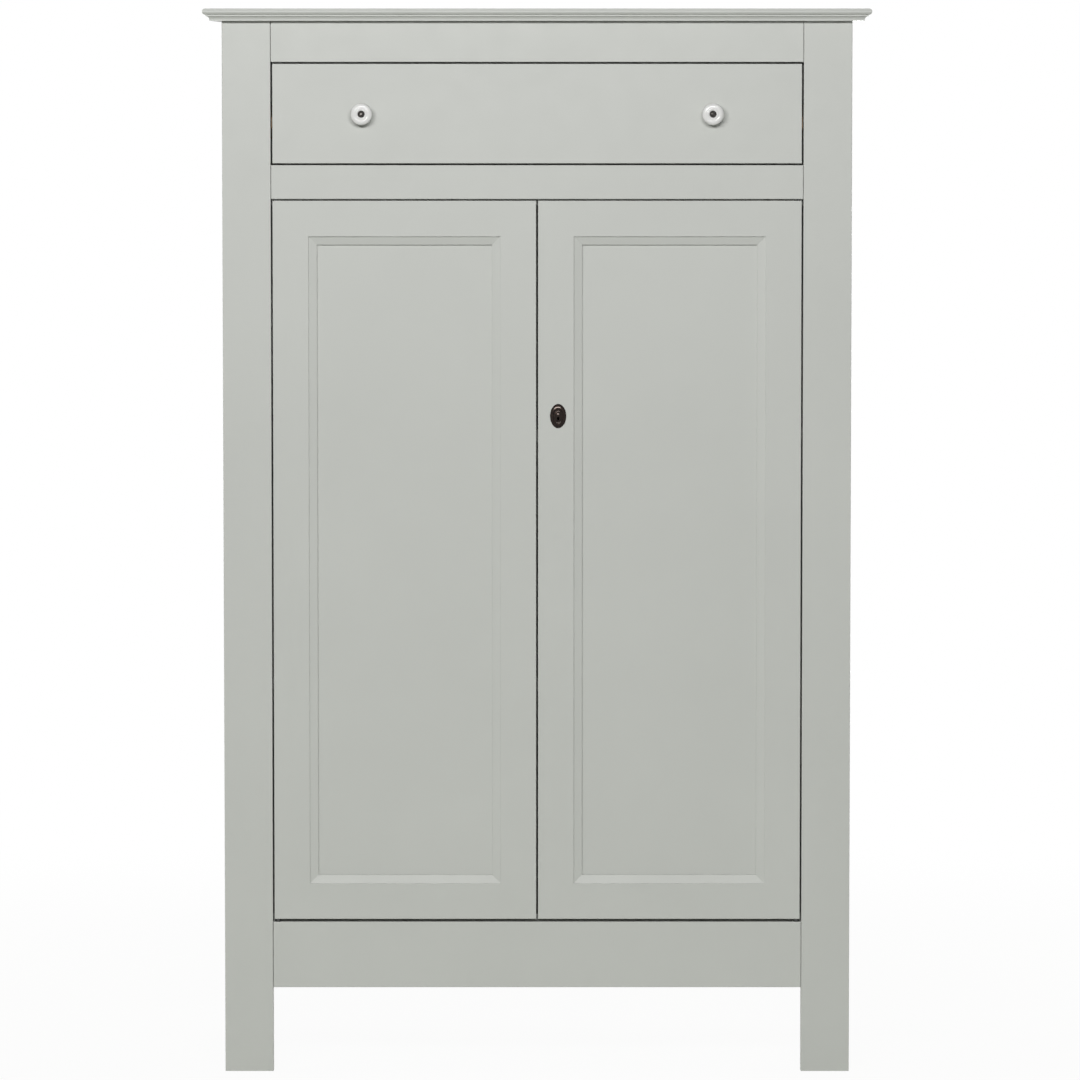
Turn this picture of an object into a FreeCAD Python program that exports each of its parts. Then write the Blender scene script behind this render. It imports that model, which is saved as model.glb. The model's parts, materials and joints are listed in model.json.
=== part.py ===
"""Painted highboard: a face frame with one drawer over two inset panelled doors, on straight legs.

Lengths are in millimetres. +Z is up, the front faces -Y and the origin lies on the floor, under the
middle of the top board. Every length in the sheet below drives the pieces that share it.
"""
import FreeCAD, Part
import math
import os
from types import SimpleNamespace

import Sketcher

SIZES = {
    # whole cabinet
    "overall_height": 1400.0,
    "carcass_width": 824.0,
    "carcass_depth": 375.6,
    "fit_clearance": 0.2,
    # moulded top board
    "top_thickness": 16.0,
    "top_overhang": 24.4,
    "nose_height": 8.2,
    "fillet_setback": 4.4,
    "fillet_height": 1.8,
    "cove_radius": 4.8,
    # face frame
    "frame_thickness": 20.5,
    "post_width": 63.5,
    "edge_radius": 1.0,
    "foot_height": 111.7,
    "bottom_rail_height": 87.1,
    "middle_rail_height": 44.6,
    "drawer_opening_height": 134.3,
    "top_rail_height": 53.8,
    "joint_line_width": 0.7,
    "joint_line_depth": 5.5,
    "tenon_length": 40.0,
    "tenon_thickness": 7.0,
    "tenon_shoulder": 9.0,
    # sides, boards and back
    "side_thickness": 18.0,
    "front_foot_depth": 42.0,
    "rear_foot_depth": 62.0,
    "foot_arch_radius": 20.0,
    "board_thickness": 16.0,
    "stop_lap": 8.0,
    "cleat_section": 18.0,
    "back_thickness": 4.0,
    "back_inset": 1.0,
    "back_lap": 9.0,
    "rear_rail_height": 60.0,
    # shelves
    "shelf_spacing": 329.0,
    "shelf_setback": 14.0,
    "shelf_play": 1.0,
    "shelf_pin_diameter": 5.0,
    "shelf_pin_depth": 10.0,
    "shelf_pin_reach": 9.0,
    "shelf_pin_inset": 45.0,
    # drawer
    "drawer_gap": 2.1,
    "drawer_front_thickness": 20.0,
    "drawer_rear_room": 22.5,
    "drawer_box_height": 100.0,
    "drawer_box_lift": 12.0,
    "drawer_side_thickness": 16.0,
    "drawer_side_gap": 3.0,
    "drawer_bottom_thickness": 5.0,
    "drawer_bottom_lift": 9.0,
    "drawer_back_inset": 12.0,
    "groove_depth": 6.0,
    "tongue_thickness": 7.0,
    "housing_depth": 4.0,
    "runner_height": 15.0,
    "runner_level": 55.4,
    "runner_bite": 8.0,
    "bearer_height": 44.0,
    # knobs
    "knob_inset": 119.0,
    "knob_drop": 0.5,
    "knob_diameter": 29.0,
    "knob_base_diameter": 17.0,
    "knob_neck_diameter": 13.0,
    "knob_length": 21.4,
    "knob_head_length": 9.0,
    "knob_rim_radius": 3.0,
    "knob_seat_diameter": 11.0,
    "knob_bolt_diameter": 4.0,
    "knob_bolt_head_diameter": 9.3,
    "knob_bolt_head_height": 1.9,
    "knob_nut_width": 8.0,
    "knob_nut_height": 3.2,
    "knob_washer_diameter": 13.0,
    "knob_washer_thickness": 1.0,
    # doors
    "door_thickness": 20.0,
    "door_side_gap": 2.0,
    "door_centre_gap": 2.2,
    "door_top_gap": 1.8,
    "door_bottom_gap": 3.6,
    "stile_flat": 46.9,
    "rail_flat": 46.9,
    "bevel_width": 11.0,
    "bevel_quirk": 3.0,
    "bevel_drop": 5.0,
    "panel_step": 4.0,
    "panel_thickness": 6.0,
    "panel_groove_depth": 9.0,
    "hinge_arris_radius": 2.5,
    # door pivots
    "pivot_inset": 4.6,
    "pivot_pin_diameter": 4.0,
    "pivot_pin_depth": 16.0,
    "pivot_bush_diameter": 6.2,
    "pivot_bush_length": 12.0,
    "pivot_clearance": 0.05,
    "pivot_washer_diameter": 8.0,
    # lock on the right door and its keep on the left door
    "lock_level": 867.2,
    "lock_backset": 26.5,
    "lock_case_width": 44.0,
    "lock_case_height": 58.0,
    "lock_case_depth": 11.0,
    "lock_case_wall": 1.2,
    "lock_setback": 2.0,
    "lock_bolt_height": 12.0,
    "lock_bolt_thickness": 6.0,
    "lock_bolt_length": 34.0,
    "lock_bolt_lift": 2.0,
    "keep_thickness": 1.5,
    "keep_width": 22.0,
    "keep_foot": 14.0,
    "keep_clearance": 0.6,
    # escutcheon and keyhole
    "escutcheon_width": 21.5,
    "escutcheon_height": 32.0,
    "escutcheon_thickness": 2.8,
    "escutcheon_slope": 1.2,
    "escutcheon_rim": 1.3,
    "escutcheon_dish": 1.5,
    "keyhole_drop": 2.6,
    "keyhole_diameter": 3.4,
    "keyhole_slot_width": 2.0,
    "keyhole_slot_length": 3.4,
    # slide bolt on the left door
    "slide_plate_width": 24.0,
    "slide_plate_height": 50.0,
    "slide_plate_thickness": 2.0,
    "slide_plate_drop": 6.0,
    "slide_strap_width": 18.0,
    "slide_strap_height": 8.0,
    "slide_strap_thickness": 1.5,
    "slide_bar_width": 10.0,
    "slide_bar_thickness": 3.0,
    "slide_bar_drop": 3.0,
    "slide_bar_tail": 8.0,
    "slide_knob_diameter": 7.0,
    "slide_knob_length": 7.0,
    "slide_knob_drop": 5.0,
    "slide_mortise_depth": 11.0,
}


class Size:
    """A length that keeps its number together with the sheet formula it comes from."""

    def __init__(self, number, formula):
        self.number = number
        self.formula = formula

    def __add__(self, other):
        return Size(self.number + number_of(other), f"({self.formula} + {formula_of(other)})")

    def __radd__(self, other):
        return Size(number_of(other) + self.number, f"({formula_of(other)} + {self.formula})")

    def __sub__(self, other):
        return Size(self.number - number_of(other), f"({self.formula} - {formula_of(other)})")

    def __rsub__(self, other):
        return Size(number_of(other) - self.number, f"({formula_of(other)} - {self.formula})")

    def __mul__(self, factor):
        return Size(self.number * number_of(factor), f"({self.formula} * {formula_of(factor)})")

    def __rmul__(self, factor):
        return self * factor

    def __truediv__(self, divisor):
        return Size(self.number / number_of(divisor), f"({self.formula} / {formula_of(divisor)})")

    def __neg__(self):
        return self * -1


def number_of(value):
    """The plain number of a size or a number."""
    return value.number if isinstance(value, Size) else float(value)


def formula_of(value):
    """The sheet formula of a size or a number."""
    return value.formula if isinstance(value, Size) else repr(float(value))


document = FreeCAD.newDocument("highboard")
nodes = {}


def read_sizes():
    """Write the sheet and return its cells as named sizes."""
    sheet = document.addObject("Spreadsheet::Sheet", "sizes")
    named = SimpleNamespace()
    for row, (alias, number) in enumerate(SIZES.items(), start=1):
        sheet.set(f"A{row}", alias)
        sheet.set(f"B{row}", str(number))
        sheet.setAlias(f"B{row}", alias)
        setattr(named, alias, Size(number, f"sizes.{alias}"))
    document.recompute()
    return named


def bind(thing, **lengths):
    """Bind properties of an object to their formulas; a double underscore stands for a dot."""
    for name, length in lengths.items():
        thing.setExpression(name.replace("__", "."), formula_of(length))


def place(thing, x, y, z):
    """Bind an object's position."""
    bind(thing, Placement__Base__x=x, Placement__Base__y=y, Placement__Base__z=z)


def keep_node(label, shape_object):
    """Name an object as a finished piece."""
    shape_object.Label = label
    nodes[label] = shape_object
    return shape_object


def new_body(label):
    """Start a body for one piece."""
    return document.addObject("PartDesign::Body", label)


def box_feature(body, kind, x, y, z):
    """Add or take away a block that spans the given ranges."""
    box = body.newObject(f"PartDesign::{kind}Box", "block")
    bind(box, Length=x[1] - x[0], Width=y[1] - y[0], Height=z[1] - z[0])
    place(box, x[0], y[0], z[0])
    return box


def add_box(body, x, y, z):
    """Add a block to a body."""
    return box_feature(body, "Additive", x, y, z)


def cut_box(body, x, y, z):
    """Take a block away from a body."""
    return box_feature(body, "Subtractive", x, y, z)


TURNS = {
    "x": FreeCAD.Rotation(FreeCAD.Vector(0, 1, 0), 90),
    "y": FreeCAD.Rotation(FreeCAD.Vector(1, 0, 0), -90),
    "z": FreeCAD.Rotation(),
}


OVAL_TURN = FreeCAD.Rotation(FreeCAD.Vector(1, 0, 0), 90) * FreeCAD.Rotation(FreeCAD.Vector(0, 0, 1), 90)


def round_feature(body, kind, axis, start, length, diameter):
    """Add or take away a cylinder that runs from its start point along one axis."""
    cylinder = body.newObject(f"PartDesign::{kind}Cylinder", "round")
    cylinder.Placement = FreeCAD.Placement(FreeCAD.Vector(), TURNS[axis])
    bind(cylinder, Radius=diameter / 2, Height=length)
    place(cylinder, *start)
    return cylinder


def add_round(body, axis, start, length, diameter):
    """Add a cylinder to a body."""
    return round_feature(body, "Additive", axis, start, length, diameter)


def cut_round(body, axis, start, length, diameter):
    """Take a cylinder away from a body."""
    return round_feature(body, "Subtractive", axis, start, length, diameter)


def ease(body, radius, wanted):
    """Round the edges of a body whose bounding boxes pass the test."""
    document.recompute()
    tip = body.Tip
    names = [f"Edge{i}" for i, edge in enumerate(tip.Shape.Edges, start=1) if wanted(edge.BoundBox)]
    fillet = body.newObject("PartDesign::Fillet", "eased_edges")
    fillet.Base = (tip, names)
    bind(fillet, Radius=radius)
    body.Tip = fillet


def near(value, size):
    """Whether a coordinate lies at a size."""
    return abs(value - number_of(size)) < 1e-4


def on_front(box):
    """Whether an edge lies in the plane of the cabinet's front."""
    return near(box.YMin, front) and near(box.YMax, front)


def sketch_on(body, plane, offset):
    """A sketch on one of the body's own planes, set off along its normal."""
    sketch = body.newObject("Sketcher::SketchObject", "profile")
    support = next(f for f in body.Origin.OriginFeatures if f.Role == plane)
    sketch.AttachmentSupport = (support, [""])
    sketch.MapMode = "FlatFace"
    bind(sketch, AttachmentOffset__Base__z=offset)
    return sketch


def draw(sketch, points, arcs=None):
    """Draw a closed outline and bind every corner.

    points holds the corners in order. arcs gives, for the side that starts at a corner's index, the
    centre and the radius of the arc that takes the place of the straight line.
    """
    arcs = arcs or {}
    flat = [FreeCAD.Vector(number_of(a), number_of(b), 0) for a, b in points]
    count = len(points)
    start_of = {}
    for i, here in enumerate(flat):
        there = flat[(i + 1) % count]
        start_of[i] = 1
        if i not in arcs:
            sketch.addGeometry(Part.LineSegment(here, there))
            continue
        (middle_x, middle_y), radius = arcs[i]
        middle = FreeCAD.Vector(number_of(middle_x), number_of(middle_y), 0)
        ends = [here, there]
        if (here - middle).cross(there - middle).z < 0:
            ends.reverse()
            start_of[i] = 2
        first, last = (math.atan2(p.y - middle.y, p.x - middle.x) for p in ends)
        if last < first:
            last += 2 * math.pi
        circle = Part.Circle(middle, FreeCAD.Vector(0, 0, 1), number_of(radius))
        sketch.addGeometry(Part.ArcOfCircle(circle, first, last))
    for i in range(count):
        following = (i + 1) % count
        ends = (i, 3 - start_of[i], following, start_of[following])
        sketch.addConstraint(Sketcher.Constraint("Coincident", *ends))
    for i, corner in enumerate(points):
        for kind, length in zip(("DistanceX", "DistanceY"), corner):
            limit = Sketcher.Constraint(kind, -1, 1, i, start_of[i], number_of(length))
            bind(sketch, **{f"Constraints[{sketch.addConstraint(limit)}]": length})
    for i, (_, radius) in arcs.items():
        limit = Sketcher.Constraint("Radius", i, number_of(radius))
        bind(sketch, **{f"Constraints[{sketch.addConstraint(limit)}]": radius})


def prism(body, plane, span, points, arcs=None):
    """Pad an outline over a span: XY outlines along Z, YZ outlines along X, XZ outlines along Y."""
    offset = -span[1] if plane == "XZ_Plane" else span[0]
    sketch = sketch_on(body, plane, offset)
    draw(sketch, points, arcs)
    pad = body.newObject("PartDesign::Pad", "pad")
    pad.Profile = sketch
    bind(pad, Length=span[1] - span[0])
    sketch.Visibility = False
    return pad


def turned(body, points, arcs=None):
    """Turn an outline, drawn as radius and distance along Y, about the body's own Y axis."""
    sketch = sketch_on(body, "XY_Plane", 0)
    draw(sketch, points, arcs)
    revolution = body.newObject("PartDesign::Revolution", "turned")
    revolution.Profile = sketch
    revolution.ReferenceAxis = (sketch, ["V_Axis"])
    revolution.Angle = 360
    return revolution


def mirrored(source, label):
    """The same piece on the other side of the cabinet."""
    mirror = document.addObject("Part::Mirroring", label)
    mirror.Source = source
    mirror.Normal = FreeCAD.Vector(1, 0, 0)
    return mirror


def cut_away(label, base, *tools):
    """A piece with the room for other pieces taken out of it."""
    for tool in tools:
        cut = document.addObject("Part::Cut", f"{label}_cut")
        cut.Base = base
        cut.Tool = tool
        base = cut
    return base


def group(label, *members):
    """Several equal pieces under one name."""
    compound = document.addObject("Part::Compound", label)
    compound.Links = list(members)
    return keep_node(label, compound)


def plain_block(label, x, y, z):
    """A square-edged block that is a piece by itself."""
    box = document.addObject("Part::Box", label)
    bind(box, Length=x[1] - x[0], Width=y[1] - y[0], Height=z[1] - z[0])
    place(box, x[0], y[0], z[0])
    return box


def plain_round(label, axis, start, length, diameter):
    """A straight pin, or the hole for one."""
    cylinder = document.addObject("Part::Cylinder", label)
    cylinder.Placement = FreeCAD.Placement(FreeCAD.Vector(), TURNS[axis])
    bind(cylinder, Radius=diameter / 2, Height=length)
    place(cylinder, *start)
    return cylinder


def both_ways(half):
    """A range that lies evenly about the middle."""
    return (-half, half)


def about(middle, width):
    """A range of a given width about a middle."""
    return (middle - width / 2, middle + width / 2)


size = read_sizes()

# levels that the pieces share
half_depth = (size.carcass_depth + size.top_overhang) / 2
front = size.top_overhang - half_depth
rear = half_depth
frame_back = front + size.frame_thickness
back_face = rear - size.back_inset - size.back_thickness
door_back = front + size.door_thickness
half_width = size.carcass_width / 2
opening = half_width - size.post_width
inner = half_width - size.side_thickness

top_under = size.overall_height - size.top_thickness
drawer_head = top_under - size.top_rail_height
drawer_sill = drawer_head - size.drawer_opening_height
door_head = drawer_sill - size.middle_rail_height
door_sill = size.foot_height + size.bottom_rail_height
floor_top = door_sill + size.stop_lap
floor_low = floor_top - size.board_thickness
divider_low = door_head - size.stop_lap
divider_top = divider_low + size.board_thickness

pivot_x = -(opening - size.door_side_gap) + size.pivot_inset
pivot_y = front + size.pivot_inset
door_low = door_sill + size.door_bottom_gap
door_high = door_head - size.door_top_gap
bolt_x = -size.door_centre_gap / 2 - (size.stile_flat + size.bevel_width) / 2
bar_front = door_back + size.slide_plate_thickness + size.fit_clearance
bar_back = bar_front + size.slide_bar_thickness
pin_hole = size.pivot_pin_diameter + 2 * size.pivot_clearance
knob_x = opening - size.knob_inset
frame_middle = (front + frame_back) / 2
rail_spans = {
    "bottom_rail": (size.foot_height, door_sill),
    "middle_rail": (door_head, drawer_sill),
    "top_rail": (drawer_head, top_under),
}


def build_top_board():
    """Top board with a round nose, a fillet and a cove along its front and both ends."""
    nose = size.nose_height / 2
    lip = size.top_thickness - size.nose_height - size.fillet_height - size.cove_radius
    cove_top = top_under + lip + size.cove_radius
    nose_low = cove_top + size.fillet_height
    nose_middle = nose_low + nose
    foot = size.fillet_setback + size.cove_radius

    def moulding(edge, inward):
        """The moulded edge from the underside up; inward is the direction away from the nose."""
        corners = [
            (edge + inward * foot, top_under),
            (edge + inward * foot, top_under + lip),
            (edge + inward * size.fillet_setback, cove_top),
            (edge + inward * size.fillet_setback, nose_low),
            (edge + inward * nose, nose_low),
            (edge, nose_middle),
            (edge + inward * nose, size.overall_height),
        ]
        cove = ((edge + inward * size.fillet_setback, top_under + lip), size.cove_radius)
        round_nose = ((edge + inward * nose, nose_middle), nose)
        return corners, {1: cove, 4: round_nose, 5: round_nose}

    half_top = half_width + size.top_overhang
    lengthwise = new_body("top_board_lengthwise")
    corners, arcs = moulding(-half_depth, 1)
    square_rear = [(rear, size.overall_height), (rear, top_under)]
    prism(lengthwise, "YZ_Plane", both_ways(half_top), corners + square_rear, arcs)

    crosswise = new_body("top_board_crosswise")
    left, left_arcs = moulding(-half_top, 1)
    right, right_arcs = moulding(half_top, -1)
    last = len(right) - 1
    back_down = {len(left) + last - 1 - i: arc for i, arc in right_arcs.items()}
    prism(crosswise, "XZ_Plane", both_ways(half_depth), left + right[::-1], {**left_arcs, **back_down})

    common = document.addObject("Part::Common", "top_board_moulded")
    common.Base = lengthwise
    common.Tool = crosswise
    return common


def build_front_post():
    """Left post of the face frame, which runs down to the floor as a leg, with a mortise for each rail."""
    post = new_body("post")
    add_box(post, (-half_width, -opening), (front, frame_back), (0, top_under))

    def long_edge(box):
        upright = box.ZLength > number_of(size.foot_height)
        return upright and (on_front(box) or near(box.XMax, -half_width))

    ease(post, size.edge_radius, long_edge)
    play = size.fit_clearance
    mortise_x = (-opening - size.tenon_length - play, -opening)
    mortise_y = about(frame_middle, size.tenon_thickness + play)
    for low, high in rail_spans.values():
        cut_box(post, mortise_x, mortise_y, tenon_height(low, high, play / 2))
    return post


def tenon_height(low, high, play):
    """The height of a tenon between its two shoulders, with play above and below it."""
    return (low + size.tenon_shoulder - play, high - size.tenon_shoulder + play)


def build_rail(label):
    """Rail of the face frame between the two posts, with a tenon at each end."""
    low, high = rail_spans[label]
    rail = new_body(f"{label}_body")
    add_box(rail, both_ways(opening), (front, frame_back), (low, high))

    def long_edge(box):
        return on_front(box) and box.XLength > number_of(opening)

    ease(rail, size.edge_radius, long_edge)
    tenons_x = both_ways(opening + size.tenon_length)
    add_box(rail, tenons_x, about(frame_middle, size.tenon_thickness), tenon_height(low, high, 0))

    # a fine shadow line where the rail meets each post
    line_depth = (front, front + size.joint_line_depth)
    for end in ((-opening, -opening + size.joint_line_width), (opening - size.joint_line_width, opening)):
        cut_box(rail, end, line_depth, (low, high))
    return rail


def build_side_panel():
    """Left side with its own front and rear foot and a straight arch between them."""
    side = new_body("side")
    radius = size.foot_arch_radius
    arch_front = frame_back + size.front_foot_depth
    arch_rear = rear - size.rear_foot_depth
    arch_top = size.foot_height
    outline = [
        (frame_back, 0),
        (arch_front, 0),
        (arch_front, arch_top - radius),
        (arch_front + radius, arch_top),
        (arch_rear - radius, arch_top),
        (arch_rear, arch_top - radius),
        (arch_rear, 0),
        (rear, 0),
        (rear, top_under),
        (frame_back, top_under),
    ]
    arcs = {
        2: ((arch_front + radius, arch_top - radius), radius),
        4: ((arch_rear - radius, arch_top - radius), radius),
    }
    prism(side, "YZ_Plane", (-half_width, -inner), outline, arcs)
    cut_box(side, (-inner - size.back_lap, -inner), (back_face, rear), (floor_low, top_under))

    def rear_corner(box):
        return near(box.YMin, rear) and near(box.XMax, -half_width)

    ease(side, size.edge_radius, rear_corner)
    return side


def drawer_inside_front():
    """The plane where the drawer box meets the back of the drawer front."""
    return front + size.drawer_front_thickness


def drawer_rear():
    """The rear end of the drawer box."""
    return back_face - size.drawer_rear_room


def build_carcass():
    """Posts, rails, sides, boards, back and shelves."""
    keep_node("top_board", build_top_board())
    post = build_front_post()
    keep_node("front_post_left", post)
    keep_node("front_post_right", mirrored(post, "front_post_right"))

    # the door pivots turn in the middle and the bottom rail
    rails = {label: keep_node(label, build_rail(label)) for label in rail_spans}
    for side in (1, -1):
        low_pin = (side * pivot_x, pivot_y, door_sill - size.pivot_pin_depth)
        high_pin = (side * pivot_x, pivot_y, door_head)
        cut_round(rails["bottom_rail"], "z", low_pin, size.pivot_pin_depth, pin_hole)
        cut_round(rails["middle_rail"], "z", high_pin, size.pivot_pin_depth, pin_hole)

    pin_holes = document.addObject("Part::Compound", "shelf_pin_holes")
    pins, holes = build_shelves()
    pin_holes.Links = holes
    group("shelf_pins", *pins, *[mirrored(pin, "shelf_pin") for pin in pins])
    side = cut_away("side", build_side_panel(), pin_holes)
    keep_node("side_panel_left", side)
    keep_node("side_panel_right", mirrored(side, "side_panel_right"))

    behind_frame = (frame_back, back_face)
    floor = plain_block("floor_panel", both_ways(inner), behind_frame, (floor_low, floor_top))
    keep_node("floor_panel", floor)
    divider = new_body("divider")
    add_box(divider, both_ways(inner), behind_frame, (divider_low, divider_top))
    mortise_width = size.slide_bar_width + 2 * size.keep_clearance
    mortise_depth = (bar_front - size.keep_clearance, bar_back + size.keep_clearance)
    mortise_height = (divider_low, divider_low + size.slide_mortise_depth)
    cut_box(divider, about(bolt_x, mortise_width), mortise_depth, mortise_height)
    keep_node("divider_panel", divider)

    back_half = inner + size.back_lap - size.fit_clearance
    back_depth = (back_face, back_face + size.back_thickness)
    back = plain_block("back_panel", both_ways(back_half), back_depth, (floor_low, top_under))
    keep_node("back_panel", back)
    rail_depth = (back_face - size.side_thickness, back_face)
    rail_height = (top_under - size.rear_rail_height, top_under)
    keep_node("rear_top_rail", plain_block("rear_top_rail", both_ways(inner), rail_depth, rail_height))

    cleat_x = (-inner, -inner + size.cleat_section)
    cleat_y = (frame_back + size.front_foot_depth, back_face - size.front_foot_depth)
    cleats = {"floor_cleats": floor_low, "divider_cleats": divider_low, "top_cleats": top_under}
    for label, high in cleats.items():
        cleat = plain_block(f"{label}_left", cleat_x, cleat_y, (high - size.cleat_section, high))
        group(label, cleat, mirrored(cleat, f"{label}_right"))


def build_shelves():
    """Two shelves on pins; returns the pins of the left side and the holes for them."""
    middle = (floor_top + divider_low) / 2
    half = inner - size.shelf_play
    shelf_front = frame_back + size.shelf_setback
    shelf_rear = back_face - size.shelf_play
    pins = []
    holes = []
    for label, level in (("shelf_lower", -0.5), ("shelf_upper", 0.5)):
        height = about(middle + size.shelf_spacing * level, size.board_thickness)
        shelf = new_body(f"{label}_body")
        add_box(shelf, both_ways(half), (shelf_front, shelf_rear), height)

        def front_edge(box):
            return near(box.YMax, shelf_front) and box.XLength > number_of(half)

        ease(shelf, size.edge_radius, front_edge)
        keep_node(label, shelf)
        for y in (shelf_front + size.shelf_pin_inset, shelf_rear - size.shelf_pin_inset):
            start = (-inner - size.shelf_pin_depth, y, height[0] - size.shelf_pin_diameter / 2)
            length = size.shelf_pin_depth + size.shelf_pin_reach
            pins.append(plain_round("shelf_pin", "x", start, length, size.shelf_pin_diameter))
            hole = size.shelf_pin_diameter + size.fit_clearance
            holes.append(plain_round("shelf_pin_hole", "x", start, size.shelf_pin_depth, hole))
    return pins, holes


def build_drawer():
    """Drawer on two wooden runners: tongued sides let into the front, and a back housed in the sides."""
    play = size.fit_clearance
    inside_front = drawer_inside_front()
    box_rear = drawer_rear()
    box_low = drawer_sill + size.drawer_box_lift
    box_high = box_low + size.drawer_box_height
    outer = opening - size.drawer_side_gap
    inside = outer - size.drawer_side_thickness
    bottom_low = box_low + size.drawer_bottom_lift
    bottom_high = bottom_low + size.drawer_bottom_thickness
    groove_half = inside + size.groove_depth
    groove_height = (bottom_low, bottom_high + play)
    tongue = inside + size.tongue_thickness
    runner_middle = drawer_sill + size.runner_level

    face = new_body("drawer_front_body")
    face_height = (drawer_sill + size.drawer_gap, drawer_head - size.drawer_gap)
    add_box(face, both_ways(opening - size.drawer_gap), (front, inside_front), face_height)
    let_in = (inside_front - size.groove_depth, inside_front)
    cut_box(face, both_ways(groove_half), let_in, groove_height)
    for housing in ((-tongue - play, -inside), (inside, tongue + play)):
        cut_box(face, housing, let_in, (box_low - play, box_high + play))
    for side in (1, -1):
        start = (side * knob_x, front, knob_level())
        cut_round(face, "y", start, size.drawer_front_thickness, size.knob_bolt_diameter + 2 * play)
    long_edges = number_of(size.knob_diameter)
    ease(face, size.edge_radius, lambda box: on_front(box) and box.DiagonalLength > long_edges)
    keep_node("drawer_front", face)

    side = new_body("drawer_side")
    add_box(side, (-outer, -inside), (inside_front, box_rear), (box_low, box_high))
    bite = size.runner_bite + play
    slot = size.runner_height + 2 * play
    cut_box(side, (-outer, -outer + bite), (inside_front, box_rear), about(runner_middle, slot))

    def upper_edge(box):
        return near(box.ZMin, box_high) and box.YLength > number_of(size.drawer_box_height)

    ease(side, size.edge_radius, upper_edge)
    tongue_end = inside_front - size.groove_depth + play
    add_box(side, (-tongue, -inside), (tongue_end, inside_front), (box_low, box_high))
    cut_box(side, (-groove_half, -inside), (tongue_end, box_rear), groove_height)
    back_rear = box_rear - size.drawer_back_inset
    back_depth = (back_rear - size.drawer_side_thickness, back_rear)
    back_height = (bottom_high + play, box_high)
    housing_depth = (back_depth[0] - play / 2, back_depth[1] + play / 2)
    cut_box(side, (-inside - size.housing_depth, -inside), housing_depth, back_height)
    keep_node("drawer_side_left", side)
    keep_node("drawer_side_right", mirrored(side, "drawer_side_right"))

    back_half = inside + size.housing_depth - play
    keep_node("drawer_back", plain_block("drawer_back", both_ways(back_half), back_depth, back_height))
    panel_half = groove_half - play
    reach = (tongue_end, box_rear)
    bottom = plain_block("drawer_bottom", both_ways(panel_half), reach, (bottom_low, bottom_high))
    keep_node("drawer_bottom", bottom)

    # runners on bearers that bring them out to the edge of the opening
    run = (frame_back, back_face - size.side_thickness)
    bearer_height = about(runner_middle, size.bearer_height)
    bearer = plain_block("runner_bearer", (-inner, -opening), run, bearer_height)
    keep_node("runner_bearer_left", bearer)
    keep_node("runner_bearer_right", mirrored(bearer, "runner_bearer_right"))
    width = size.drawer_side_gap + size.runner_bite
    runner = new_body("runner")
    add_box(runner, (-opening, -opening + width), run, about(runner_middle, size.runner_height))
    edge_x = -opening + width
    ease(runner, size.edge_radius, lambda box: near(box.XMin, edge_x) and near(box.YMin, run[0]))
    keep_node("drawer_runner_left", runner)
    keep_node("drawer_runner_right", mirrored(runner, "drawer_runner_right"))


def knob_level():
    """The height of the knobs, a little below the middle of the drawer."""
    return (drawer_sill + drawer_head) / 2 - size.knob_drop


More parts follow.
